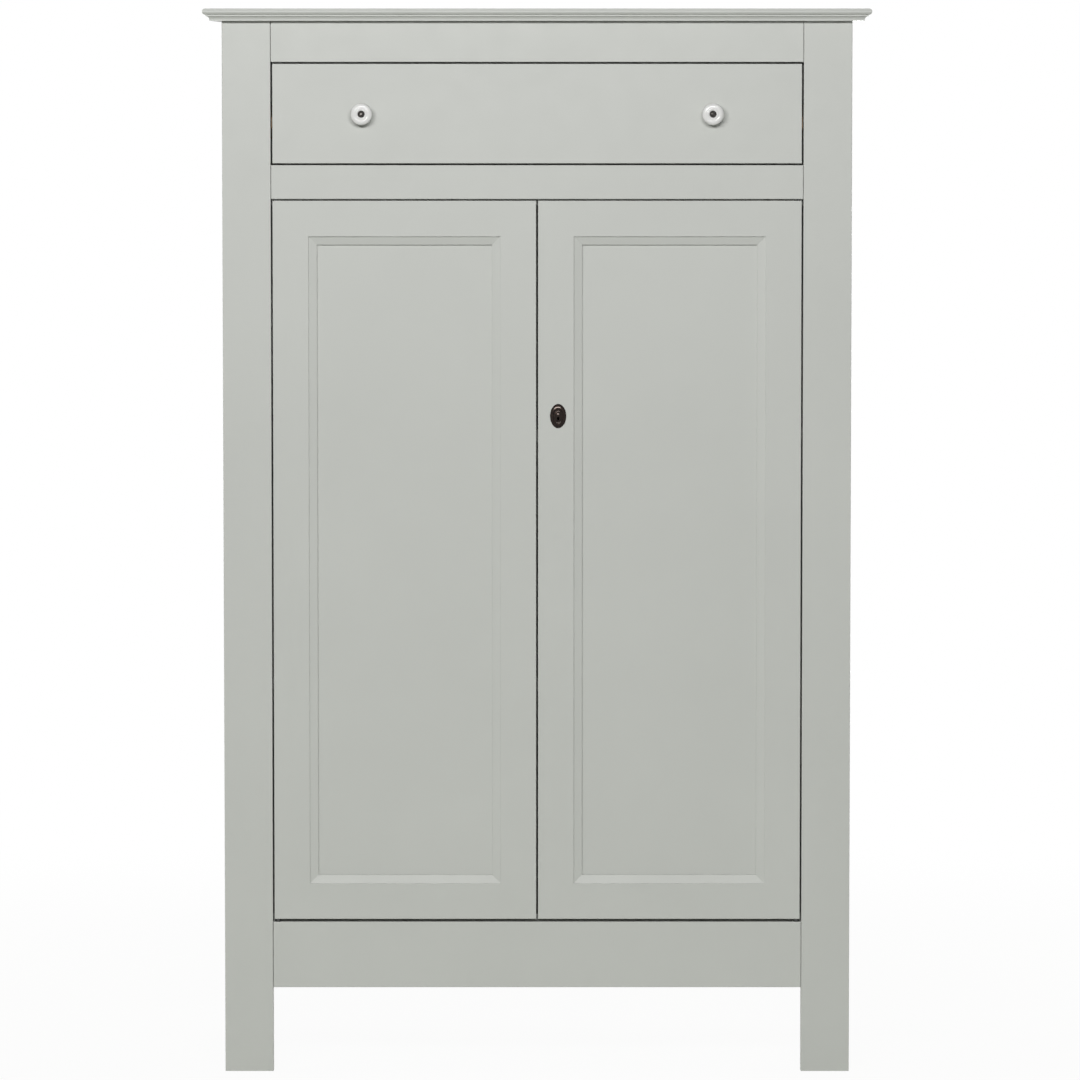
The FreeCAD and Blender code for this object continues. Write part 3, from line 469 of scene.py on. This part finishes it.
@dataclass(frozen=True)
class PaintedShadeShell(WorkedMetal):
    """A plated shell with painted shade: its outer skin is plated metal, and all that lies deeper is
    painted dark.
    """

    # painted shade: the dark colour given to what lies deeper than the skin, such as the walls seen through
    # the keyhole
    inside: str = "#16120f"
    middle: Triple = (0.0, 0.0, 0.0)
    half_size: Triple = (1.0, 1.0, 1.0)
    skin_mm: float = 0.6

    def pattern(self, nodes: Nodes) -> Inputs:
        """Plated metal on the outer skin, and painted shade, a dark colour, on what lies deeper.

        Args:
            nodes: the material's nodes.

        Returns:
            The shader's inputs that the detail sets.
        """
        plated = super().pattern(nodes)
        offset = nodes.vector("SUBTRACT", nodes.place(), self.middle)
        depth = nodes.vector("SUBTRACT", nodes.vector("ABSOLUTE", offset), self.half_size)
        sides = nodes.add("ShaderNodeSeparateXYZ", {"Vector": depth}).outputs
        nearest = nodes.largest(sides["X"], sides["Y"], sides["Z"])
        # painted shade: deeper than the skin, the colour turns to the dark inside colour
        skin = nodes.number("GREATER_THAN", nearest, -self.skin_mm * MM)
        return plated | {"Base Color": nodes.mix(skin, linear(self.inside), plated["Base Color"])}


@dataclass(frozen=True)
class Glaze(Finish):
    """Fired white glaze: glassy, a little wavy, with a breath of warm grey in it."""

    wave_mm: float = 6.0
    wave_height_mm: float = 0.15
    wave_strength: float = 0.12
    speck_mm: float = 1.1
    glass: float = 0.5
    film: float = 0.05

    def pattern(self, nodes: Nodes) -> Inputs:
        """Slow waves in the glass and a faint change of tone.

        Args:
            nodes: the material's nodes.

        Returns:
            The shader's inputs that the detail sets.
        """
        place = nodes.place()
        wave = nodes.noise(place, self.wave_mm, detail=1.0)
        speck = nodes.noise(place, self.speck_mm, detail=3.0)
        return {"Base Color": nodes.ramp(speck, shades(self.colour, (0.25, 0.95), (0.5, 1.0))),
                "Normal": nodes.bump(wave, self.wave_strength, self.wave_height_mm),
                "Coat Weight": self.glass, "Coat Roughness": self.film}


@dataclass(frozen=True)
class MouldedPlastic(Finish):
    """Moulded nylon: slightly milky, with a fine spark-eroded grain."""

    grain_mm: float = 0.5
    grain_depth_mm: float = 0.02
    grain_strength: float = 0.2

    def pattern(self, nodes: Nodes) -> Inputs:
        """Fine grain of the mould."""
        grain = nodes.noise(nodes.place(), self.grain_mm, detail=2.0)
        return {"Base Color": nodes.ramp(grain, shades(self.colour, (0.2, 0.94), (0.8, 1.0))),
                "Normal": nodes.bump(grain, self.grain_strength, self.grain_depth_mm)}


PINE = PlanedPine("planed_pine", "#e2c596", 0.55)
ZINC = WorkedMetal("zinc_plated_steel", "#acb0b5", 0.34, metallic=1.0, worn="#bfc2c6", spread=0.05)
FINISHES: dict[str, Finish] = {
    "painted_wood": SprayedPaint("satin_grey_paint", PAINT, 0.42),
    "painted_board": SprayedPaint("matt_grey_paint", PAINT, 0.55),
    "hardboard": Hardboard("hardboard_back", RAW_HARDBOARD, 0.75, raw_from=0.1960, raw_to=0.1975),
    "pine": PINE,
    "beech": PlanedBeech("planed_beech", "#cfa67a", 0.5),
    "zinc_steel": ZINC,
    "brass": WorkedMetal("turned_brass", "#b9964e", 0.28, metallic=1.0, worn="#d2b46c"),
    "nylon": MouldedPlastic("black_nylon", "#232322", 0.45),
    "antique_bronze": WorkedMetal("dark_cast_bronze", "#17100d", 0.22, metallic=1.0, worn="#2e231d",
                                  spread=0.06, lacquer=0.3, film=0.06),
    "dark_steel": WorkedMetal("aged_nickel", "#302f2e", 0.11, metallic=1.0, worn="#55524f", spread=0.02),
    "glazed_ceramic": Glaze("white_glaze", "#e1e1df", 0.14),
}
LOCK_LOW, LOCK_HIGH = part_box("lock_case")
OWN_FINISHES: dict[str, Finish] = {
    # the lock case's deeper parts get painted shade, so its hollow seen through the keyhole is dark
    "lock_case": PaintedShadeShell("zinc_plated_lock_painted_shade", ZINC.colour, ZINC.roughness, metallic=ZINC.metallic,
                            worn=ZINC.worn, spread=ZINC.spread, middle=tuple((LOCK_LOW + LOCK_HIGH) / 2),
                            half_size=tuple((LOCK_HIGH - LOCK_LOW) / 2)),
    "pivot_pins": WorkedMetal("blued_steel", "#2a2c30", 0.42, metallic=1.0, worn="#3c4046"),
    "drawer_back": PlanedPine("planed_pine_across", PINE.colour, PINE.roughness, grain=Grain.ACROSS),
    "drawer_bottom": Hardboard("hardboard_tray", RAW_HARDBOARD, 0.75, axis="Z", raw_from=1.2216,
                               raw_to=1.2206),
}


def deselect() -> None:
    """Leave nothing selected, so that the next operator acts on its own piece alone."""
    bpy.ops.object.select_all(action="DESELECT")


def pick(*pieces: Piece) -> None:
    """Select only these pieces and make the first one active.

    Args:
        pieces: the pieces to select.
    """
    deselect()
    for piece in pieces:
        piece.select_set(True)
    bpy.context.view_layer.objects.active = pieces[0]


@contextmanager
def editing(piece: Piece) -> Iterator[None]:
    """Work on all of a piece's mesh in edit mode.

    Args:
        piece: the piece to edit.
    """
    pick(piece)
    bpy.ops.object.mode_set(mode="EDIT")
    bpy.ops.mesh.select_all(action="SELECT")
    yield
    bpy.ops.object.mode_set(mode="OBJECT")


def name_new(name: str) -> Piece:
    """Name the primitive that was just added and bring its place into its mesh.

    Args:
        name: the piece's name.

    Returns:
        The piece.
    """
    piece = bpy.context.object
    piece.name = name
    piece.data.name = name
    bpy.ops.object.transform_apply(location=True, rotation=True, scale=True)
    return piece


def turned(name: str, outline_mm: Outline, foot: Vector, facing: Facing, steps: int) -> Piece:
    """Turn an outline about an axis, as on a lathe.

    Args:
        name: the piece's name.
        outline_mm: radius and height above the foot of each corner.
        foot: the point on the axis that heights are measured from.
        facing: the direction of the axis.
        steps: how many steps the full turn has.

    Returns:
        The closed piece.
    """
    axis = facing.vector
    across = axis.orthogonal().normalized()
    points = [foot + (across * radius + axis * height) * MM for radius, height in outline_mm]
    deselect()
    bpy.ops.mesh.primitive_plane_add(size=MM, location=points[0])
    piece = name_new(name)
    with editing(piece):
        bpy.ops.mesh.merge(type="CENTER")
        for here, there in zip(points, points[1:]):
            bpy.ops.mesh.extrude_vertices_move(TRANSFORM_OT_translate={"value": there - here})
        bpy.ops.mesh.select_all(action="SELECT")
        bpy.ops.mesh.spin(steps=steps, angle=math.tau, center=foot, axis=axis)
        bpy.ops.mesh.select_all(action="SELECT")
        bpy.ops.mesh.remove_doubles(threshold=WELD_GAP)
        bpy.ops.mesh.normals_make_consistent(inside=False)
    return piece


def smooth(piece: Piece, levels: int) -> None:
    """Round a piece off with a subdivision surface.

    Args:
        piece: the piece to round off.
        levels: how often it is divided.
    """
    pick(piece)
    bpy.ops.object.modifier_add(type="SUBSURF")
    modifier = piece.modifiers[-1]
    modifier.levels = levels
    modifier.render_levels = levels
    bpy.ops.object.modifier_apply(modifier=modifier.name)


def carve(piece: Piece, cutter: Piece) -> None:
    """Take a cutter's shape out of a piece and remove the cutter.

    Args:
        piece: the piece that is cut.
        cutter: the closed shape to take out.
    """
    pick(piece)
    bpy.ops.object.modifier_add(type="BOOLEAN")
    modifier = piece.modifiers[-1]
    modifier.operation = "DIFFERENCE"
    modifier.object = cutter
    bpy.ops.object.modifier_apply(modifier=modifier.name)
    pick(cutter)
    bpy.ops.object.delete()


def block(name: str, middle: Vector, size: Vector) -> Piece:
    """Make a block to cut with.

    Args:
        name: the block's name.
        middle: its middle.
        size: its size along each axis.

    Returns:
        The block.
    """
    deselect()
    bpy.ops.mesh.primitive_cube_add(size=1.0, location=middle, scale=size)
    return name_new(name)


def finish_piece(piece: Piece, body: str, slot: str) -> Piece:
    """Give a new piece its finish and let it move with its body.

    Args:
        piece: the finished shape.
        body: the body that carries it.
        slot: the record's slot that its finish comes from.

    Returns:
        The piece.
    """
    pick(piece)
    bpy.ops.object.shade_smooth_by_angle(angle=SHARP_ANGLE)
    piece.data.materials.append(FINISHES[slot].material())
    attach(piece, body)
    return piece


def inside(low: float, high: float, inset: float) -> tuple[float, float]:
    """Both ends of a run, each drawn in by an inset."""
    return low + inset, high - inset


def spread(start: float, end: float, pitch: float) -> list[float]:
    """Even places along a run, with one at each end, about a pitch apart."""
    steps = max(1, round((end - start) / pitch))
    return [start + (end - start) * i / steps for i in range(steps + 1)]


def grid(xs: Sequence[float], ys: Sequence[float], zs: Sequence[float]) -> list[Vector]:
    """Every place that these x, y and z make together."""
    return [Vector(place) for place in product(xs, ys, zs)]


@dataclass
class Fixings:
    """A set of equal fixings on one face, seen by their turned heads.

    The outline gives shares of the radius and of the crown's height.
    """

    name: str
    body: str
    facing: Facing
    places: Sequence[Vector]
    radius_mm: float
    crown_mm: float
    steps: int
    outline: Outline
    turn: float = 0.7
    slot: str = "zinc_steel"

    def head(self) -> Piece:
        """Turn one head at the first place."""
        outline_mm = [(self.radius_mm * out, self.crown_mm * up) for out, up in self.outline]
        return turned(self.name, outline_mm, self.places[0], self.facing, self.steps)

    def build(self) -> Piece:
        """Copy the head to every place, each turned a little further.

        Returns:
            All the heads as one piece.
        """
        first = self.head()
        heads = [first]
        for count, place in enumerate(self.places[1:], start=1):
            pick(first)
            bpy.ops.object.duplicate()
            bpy.ops.transform.translate(value=place - self.places[0])
            bpy.ops.transform.rotate(value=self.turn * count, orient_axis=self.facing.axis_letter,
                                     center_override=place)
            bpy.ops.object.transform_apply(location=True, rotation=True, scale=True)
            heads.append(bpy.context.object)
        pick(*heads)
        if len(heads) > 1:
            bpy.ops.object.join()
        return finish_piece(first, self.body, self.slot)


@dataclass
class Screws(Fixings):
    """Countersunk screws with a low dome and a cross recess, sized in shares of radius and crown."""

    radius_mm: float = 2.2
    crown_mm: float = 0.4
    steps: int = 20
    outline: Outline = ((0.0, 1.0), (0.5, 0.94), (0.82, 0.65), (1.0, 0.0), (1.0, -1.0), (0.0, -1.0))
    recess_length: float = 1.15
    recess_width: float = 0.26
    recess_depth: float = 1.1

    def head(self) -> Piece:
        """Turn the dome and cut the cross into it.

        Returns:
            The head, with its recess.
        """
        head = super().head()
        axis = self.facing.vector
        across = axis.orthogonal().normalized()
        up = axis.cross(across)
        top = self.places[0] + axis * self.crown_mm * MM
        depth = axis * self.crown_mm * self.recess_depth
        for along, beside in ((across, up), (up, across)):
            length = along * self.radius_mm * self.recess_length
            width = beside * self.radius_mm * self.recess_width
            size = Vector([abs(part) * MM for part in length + width + depth])
            carve(head, block("cross_recess", top, size))
        return head


@dataclass
class Nails(Fixings):
    """Wire nails with a flat head that has a soft rim and a dimple from the hammer's punch."""

    radius_mm: float = 2.6
    crown_mm: float = 0.7
    steps: int = 18
    outline: Outline = ((0.0, 0.7), (0.3, 0.78), (0.6, 1.0), (0.86, 0.92), (1.0, 0.5), (1.0, -1.0),
                        (0.0, -1.0))


@dataclass
class SubAssembly:
    """Pieces that are dressed and moved together."""

    body: str

    def dress(self) -> None:
        """Give every solid of this body its finish."""
        for part in frame["record"]["subparts"]:
            node = frame["nodes"][part["node"]]
            if node["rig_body"] == self.body:
                finish = OWN_FINISHES.get(part["node"], FINISHES[part["material_slot"]])
                node.material_slots[0].material = finish.material()
                even = node.modifiers.new("even_faces", "WEIGHTED_NORMAL")
                even.keep_sharp = True

    def build(self) -> list[Piece]:
        """Make the pieces that the solids don't have; here there are none."""
        return []


@dataclass
class Carcass(SubAssembly):
    """Top, frame, sides, boards and back."""

    body: str = "carcass"
    cleat_end: float = 0.045
    cleat_half: float = 0.009
    cleat_pitch: float = 0.11
    bearer_end: float = 0.06
    bearer_edge: float = 0.008
    nail_edge: float = 0.0045
    nail_corner: float = 0.03
    nail_board_end: float = 0.06
    nail_pitch: float = 0.115

    def cleat_screws(self, cleats: str) -> Piece:
        """Screws along the underside of a pair of cleats.

        Args:
            cleats: the node that holds the pair.

        Returns:
            The screws.
        """
        low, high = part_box(cleats)
        run = spread(*inside(low.y, high.y, self.cleat_end), self.cleat_pitch)
        places = grid(inside(low.x, high.x, self.cleat_half), run, (low.z,))
        return Screws(f"{cleats[:-1]}_screws", self.body, Facing.DOWN, places).build()

    def bearer_screws(self, side: str, facing: Facing) -> Piece:
        """Screws that hold a runner's bearer to the side.

        Args:
            side: "left" or "right".
            facing: where the bearer's face looks.

        Returns:
            The screws.
        """
        low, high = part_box(f"runner_bearer_{side}")
        face = high.x if facing is Facing.RIGHT else low.x
        places = grid((face,), inside(low.y, high.y, self.bearer_end),
                      inside(low.z, high.z, self.bearer_edge))
        return Screws(f"bearer_screws_{side}", self.body, facing, places).build()

    def back_nails(self) -> Piece:
        """Nails down both edges of the back, and across it into the boards.

        Returns:
            The nails.
        """
        low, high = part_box("back_panel")
        down = spread(*inside(low.z, high.z, self.nail_corner), self.nail_pitch)
        places = grid(inside(low.x, high.x, self.nail_edge), (high.y,), down)
        across = spread(*inside(low.x, high.x, self.nail_board_end), self.nail_pitch)
        for board in ("floor_panel", "divider_panel", "rear_top_rail"):
            lower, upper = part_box(board)
            places += grid(across, (high.y,), ((lower.z + upper.z) / 2,))
        return Nails("back_nails", self.body, Facing.REAR, places).build()

    def build(self) -> list[Piece]:
        """Screw the cleats and the runners' bearers, and nail the back.

        Returns:
            The screws and the nails.
        """
        pieces = [self.cleat_screws(cleats) for cleats in ("floor_cleats", "divider_cleats", "top_cleats")]
        pieces += [self.bearer_screws("left", Facing.RIGHT), self.bearer_screws("right", Facing.LEFT)]
        return [*pieces, self.back_nails()]


@dataclass
class Drawer(SubAssembly):
    """Drawer with two turned and glazed knobs."""

    body: str = "drawer"
    nail_end: float = 0.05
    nail_pitch: float = 0.19
    knob_steps: int = 48
    knob_outline_mm: Outline = (
        (2.3, 0.0), (7.9, 0.0), (8.5, 0.2), (8.5, 1.4), (8.1, 1.8), (7.0, 2.8), (6.5, 4.2), (6.55, 6.2),
        (7.2, 8.6), (8.9, 10.8), (11.4, 12.0), (13.2, 12.5), (14.2, 13.6), (14.5, 15.4), (14.4, 17.4),
        (13.7, 19.2), (12.3, 20.4), (10.4, 21.0), (9.2, 21.1), (8.6, 20.9), (8.1, 20.75), (7.6, 20.95),
        (7.0, 21.3), (6.3, 21.35), (5.7, 21.0), (5.4, 20.5), (2.3, 20.5), (2.3, 0.0),
    )

    def knob(self, side: str) -> Piece:
        """A knob with a softly rounded rim and a ring round the bolt.

        Args:
            side: "left" or "right".

        Returns:
            The knob.
        """
        low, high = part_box(f"knob_{side}")
        foot = Vector(((low.x + high.x) / 2, high.y, (low.z + high.z) / 2))
        knob = turned(f"glazed_knob_{side}", self.knob_outline_mm, foot, Facing.FRONT, self.knob_steps)
        smooth(knob, 1)
        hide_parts(f"knob_{side}")
        return finish_piece(knob, self.body, "glazed_ceramic")

    def bottom_nails(self) -> Piece:
        """Nails through the bottom into the drawer's back.

        Returns:
            The nails.
        """
        low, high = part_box("drawer_back")
        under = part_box("drawer_bottom")[0].z
        across = spread(*inside(low.x, high.x, self.nail_end), self.nail_pitch)
        places = grid(across, ((low.y + high.y) / 2,), (under,))
        return Nails("drawer_bottom_nails", self.body, Facing.DOWN, places).build()

    def build(self) -> list[Piece]:
        """Both knobs, and the nails under the bottom."""
        return [self.knob("left"), self.knob("right"), self.bottom_nails()]


@dataclass
class LeftDoor(SubAssembly):
    """Left door with the lock's keep and the case of the slide bolt."""

    body: str = "left_door"
    keep_foot: float = 0.0015
    keep_screw_end: float = 0.006
    bolt_plate: float = 0.002
    bolt_screw_side: float = 0.0086
    bolt_screw_end: float = 0.016
    bolt_screw_radius_mm: float = 1.9

    def keep_screws(self) -> Piece:
        """Screws in both feet of the lock's keep.

        Returns:
            The screws.
        """
        low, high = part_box("lock_keep")
        places = grid(((low.x + high.x) / 2,), (low.y + self.keep_foot,),
                      inside(low.z, high.z, self.keep_screw_end))
        return Screws("lock_keep_screws", self.body, Facing.REAR, places).build()

    def bolt_screws(self) -> Piece:
        """Screws in the plate of the slide bolt's case, two beside each end of the bar.

        Returns:
            The screws.
        """
        low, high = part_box("slide_bolt_case")
        middle = (low.x + high.x) / 2
        places = grid((middle - self.bolt_screw_side, middle + self.bolt_screw_side),
                      (low.y + self.bolt_plate,), inside(low.z, high.z, self.bolt_screw_end))
        return Screws("slide_bolt_screws", self.body, Facing.REAR, places,
                      radius_mm=self.bolt_screw_radius_mm).build()

    def build(self) -> list[Piece]:
        """Screws of the keep and of the slide bolt."""
        return [self.keep_screws(), self.bolt_screws()]


@dataclass
class RightDoor(SubAssembly):
    """Right door with the lock and its escutcheon."""

    body: str = "right_door"
    lock_screw_edge: float = 0.006
    keyhole_drop_mm: float = 2.6
    keyhole_mm: float = 3.4
    key_slot_mm: float = 2.0
    keyhole_steps: int = 24
    cutter_past_mm: float = 1.0
    plate_steps: int = 40
    plate_outline_mm: Outline = (
        (0.0, 0.0), (10.6, 0.0), (10.75, 0.15), (10.75, 0.4), (10.5, 0.75), (9.9, 1.15), (9.2, 1.56),
        (8.6, 1.87), (7.9, 2.08), (7.2, 2.26), (6.9, 2.22), (6.7, 1.9), (6.55, 1.5), (6.3, 1.28),
        (5.6, 1.2), (4.7, 1.22), (4.2, 1.3), (3.85, 1.5), (3.5, 1.85), (3.0, 2.22), (2.2, 2.55),
        (1.2, 2.75), (0.0, 2.8),
    )

    def cut_keyhole(self, plate: Piece, foot: Vector, depth: float) -> None:
        """Cut the round and the slot of the keyhole through the plate.

        Args:
            plate: the plate to cut.
            foot: the middle of the plate's foot.
            depth: how thick the plate is.
        """
        level = foot - Vector((0.0, 0.0, self.keyhole_drop_mm * MM))
        past = self.cutter_past_mm
        through = depth / MM + 2 * past
        radius = self.keyhole_mm / 2
        outline_mm = ((0.0, -past), (radius, -past), (radius, through), (0.0, through))
        carve(plate, turned("key_round", outline_mm, level, Facing.FRONT, self.keyhole_steps))
        middle = level - Vector((0.0, depth / 2, radius * MM))
        carve(plate, block("key_slot", middle, Vector((self.key_slot_mm, through, self.keyhole_mm)) * MM))

    def escutcheon(self) -> Piece:
        """The cast plate, turned round and then stretched to an oval.

        Returns:
            The plate, with its keyhole.
        """
        low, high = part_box("escutcheon")
        middle = (low + high) / 2
        foot = Vector((middle.x, high.y, middle.z))
        plate = turned("cast_escutcheon", self.plate_outline_mm, foot, Facing.FRONT, self.plate_steps)
        with editing(plate):
            stretch = (high.z - low.z) / (high.x - low.x)
            bpy.ops.transform.resize(value=(1.0, 1.0, stretch), center_override=foot)
        smooth(plate, 1)
        self.cut_keyhole(plate, foot, high.y - low.y)
        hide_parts("escutcheon")
        return finish_piece(plate, self.body, "antique_bronze")

    def lock_screws(self) -> Piece:
        """Screws in the four corners of the lock's case.

        Returns:
            The screws.
        """
        low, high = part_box("lock_case")
        places = grid(inside(low.x, high.x, self.lock_screw_edge), (high.y,),
                      inside(low.z, high.z, self.lock_screw_edge))
        return Screws("lock_case_screws", self.body, Facing.REAR, places).build()

    def build(self) -> list[Piece]:
        """The cast escutcheon and the screws of the lock."""
        return [self.escutcheon(), self.lock_screws()]


@dataclass
class LockBolt(SubAssembly):
    """Bolt of the lock, which needs only its finish."""

    body: str = "lock_bolt"


@dataclass
class SlideBolt(SubAssembly):
    """Bar of the slide bolt, which needs only its finish."""

    body: str = "slide_bolt"


@dataclass(frozen=True)
class Lamp:
    """A soft lamp: its name, its place, its width and height, and its power in watts."""

    name: str
    place: Triple
    size: tuple[float, float]
    power: float

    def hang(self, target: Triple) -> None:
        """Hang the lamp up and turn it to a point.

        Args:
            target: the point that it looks at.
        """
        deselect()
        bpy.ops.object.light_add(type="AREA", location=self.place)
        lamp = bpy.context.object
        lamp.name = self.name
        lamp.data.shape = "RECTANGLE"
        lamp.data.size, lamp.data.size_y = self.size
        lamp.data.energy = self.power
        aim = Vector(target) - Vector(self.place)
        lamp.rotation_euler = aim.to_track_quat("-Z", "Y").to_euler()


@dataclass
class Studio:
    """Floor, white surroundings, lamps and camera."""

    floor_size: float = 40.0
    floor_colour: str = "#5c5c5a"
    floor_roughness: float = 0.9
    sheet_colour: str = "#cacdc4"
    sheet_squeeze: Triple = (0.55, 1.0, 1.0)
    sheet_edge: tuple[float, float] = (0.9, 1.7)
    white_share: float = 0.95
    white_edge: tuple[float, float] = (0.6, 2.4)
    sky_strength: float = 0.08
    lamp_target: Triple = (0.0, 0.0, 0.8)
    lamps: tuple[Lamp, ...] = (
        Lamp("key_lamp", (-0.42, -4.2, 2.2), (2.8, 0.4), 144.5),
        Lamp("top_lamp", (-0.2, 0.4, 3.5), (2.4, 0.9), 24.0),
        Lamp("left_lamp", (-4.2, 1.4, 0.75), (1.6, 1.2), 66.0),
        Lamp("right_lamp", (4.2, 1.4, 0.75), (1.6, 1.2), 54.0),
        Lamp("back_lamp", (0.9, 4.6, 0.75), (2.4, 1.2), 92.0),
    )
    camera_place: Triple = (0.0038, -8.48, 1.3379)
    camera_pitch: float = math.radians(4.364)
    lens_mm: float = 211.31
    sensor_mm: float = 36.0

    def build(self) -> None:
        """Set up everything that isn't part of the object."""
        self.floor()
        self.sky()
        for lamp in self.lamps:
            lamp.hang(self.lamp_target)
        self.camera()

    def background_rays(self, nodes: Nodes) -> Socket:
        """1 for rays of the camera, of mirrors and of glass, which should see plain white, and else 0."""
        path = nodes.add("ShaderNodeLightPath", {}).outputs
        return nodes.largest(path["Is Camera Ray"], path["Is Glossy Ray"], path["Is Transmission Ray"])

    def floor(self) -> None:
        """A pale sheet on a grey floor, seen as white, that keeps a soft shadow near the feet."""
        deselect()
        bpy.ops.mesh.primitive_plane_add(size=self.floor_size, location=(0.0, 0.0, 0.0))
        floor = name_new("studio_floor")
        material = bpy.data.materials.new("studio_floor_paint")
        material.use_nodes = True
        nodes = Nodes(material.node_tree)
        place = nodes.place()
        across = nodes.vector("LENGTH", nodes.vector("MULTIPLY", place, self.sheet_squeeze))
        sheet = nodes.between(across, 0.0, 1.0, *self.sheet_edge)
        paint = nodes.ramp(sheet, ((0.0, linear(self.sheet_colour)), (1.0, linear(self.floor_colour))))
        matt = nodes.tree.nodes["Principled BSDF"]
        nodes.wire(matt, {"Base Color": paint, "Roughness": self.floor_roughness})
        white = nodes.add("ShaderNodeEmission", {"Color": WHITE, "Strength": 1.0})
        fade = nodes.between(nodes.vector("LENGTH", place), self.white_share, 1.0, *self.white_edge,
                             interpolation_type="SMOOTHSTEP")
        share = nodes.number("MULTIPLY", self.background_rays(nodes), fade)
        mixed = nodes.add("ShaderNodeMixShader", {0: share, 1: matt.outputs[0], 2: white.outputs[0]})
        nodes.wire(nodes.tree.nodes["Material Output"], {"Surface": mixed.outputs[0]})
        floor.data.materials.append(material)

    def sky(self) -> None:
        """An even white sky, seen as white and lighting at a plain level."""
        world = bpy.data.worlds.new("studio_sky")
        bpy.context.scene.world = world
        world.use_nodes = True
        nodes = Nodes(world.node_tree)
        light = nodes.tree.nodes["Background"]
        nodes.wire(light, {"Color": WHITE, "Strength": self.sky_strength})
        white = nodes.add("ShaderNodeBackground", {"Color": WHITE, "Strength": 1.0})
        share = self.background_rays(nodes)
        mixed = nodes.add("ShaderNodeMixShader", {0: share, 1: light.outputs[0], 2: white.outputs[0]})
        nodes.wire(nodes.tree.nodes["World Output"], {"Surface": mixed.outputs[0]})

    def camera(self) -> None:
        """Stand the camera in front of the cupboard, looking slightly down."""
        deselect()
        pitch = math.pi / 2 - self.camera_pitch
        bpy.ops.object.camera_add(location=self.camera_place, rotation=(pitch, 0.0, 0.0))
        camera = bpy.context.object
        camera.data.lens = self.lens_mm
        camera.data.sensor_width = self.sensor_mm
        bpy.context.scene.camera = camera


def main() -> None:
    """Dress the solids, add the small pieces and set up the studio."""
    logging.basicConfig(level=logging.INFO, format="%(name)s: %(message)s")
    bpy.context.scene.view_settings.view_transform = "Standard"
    for part in (Carcass(), Drawer(), LeftDoor(), RightDoor(), LockBolt(), SlideBolt()):
        part.dress()
        for piece in part.build():
            log.info("%s rides on %s", piece.name, part.body)
    Studio().build()


if __name__ == "__main__":
    main()
